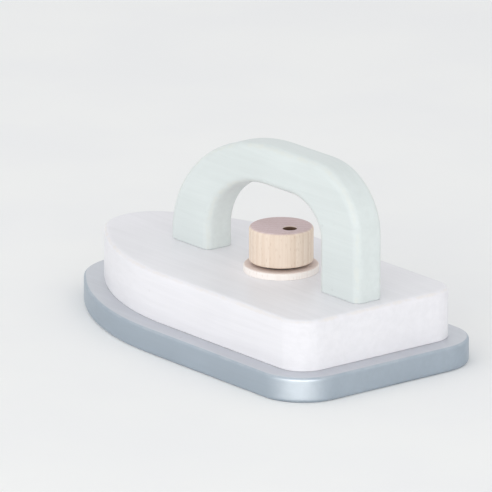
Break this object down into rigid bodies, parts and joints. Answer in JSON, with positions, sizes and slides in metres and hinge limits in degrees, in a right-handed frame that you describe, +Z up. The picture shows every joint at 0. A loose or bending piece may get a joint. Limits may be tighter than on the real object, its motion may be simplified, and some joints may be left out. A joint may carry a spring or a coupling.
{
  "type": "toy iron",
  "caption": "Wooden toy iron with a round-tipped soleplate, a thick body block, an arch handle and a turning dial under the arch.",
  "frame": {"origin": "on the surface that the iron stands on, under the middle of the soleplate", "axes": "+X towards the tip, +Y to the left of the iron, +Z up"},
  "size_m": [0.158, 0.086, 0.0725],
  "materials": {
    "sole_paint": "satin silver grey paint",
    "body_paint": "satin white paint",
    "handle_paint": "satin pale mint paint",
    "bare_wood": "bare pale wood, sanded",
    "dowel_wood": "bare beech",
    "felt": "pressed dark felt",
    "screw_steel": "zinc plated",
    "spring_steel": "oiled spring steel"
  },
  "bodies": {
    "iron": {"soleplate": "sole_paint", "body_block": "body_paint", "handle": "handle_paint", "handle_screws": "screw_steel", "handle_dowels": "dowel_wood", "sole_screws": "screw_steel", "dial_ring": "bare_wood", "felt_washer": "felt", "plain_washer": "screw_steel"},
    "dial": {"dial_knob": "bare_wood", "dial_screw": "screw_steel", "spring_washer": "spring_steel"}
  },
  "joints": [
    {"name": "dial_turn", "type": "hinge", "parent": "iron", "child": "dial", "pos_m": [-0.01762, 0, 0.0306], "axis": [0, 0, 1], "continuous": true}
  ]
}
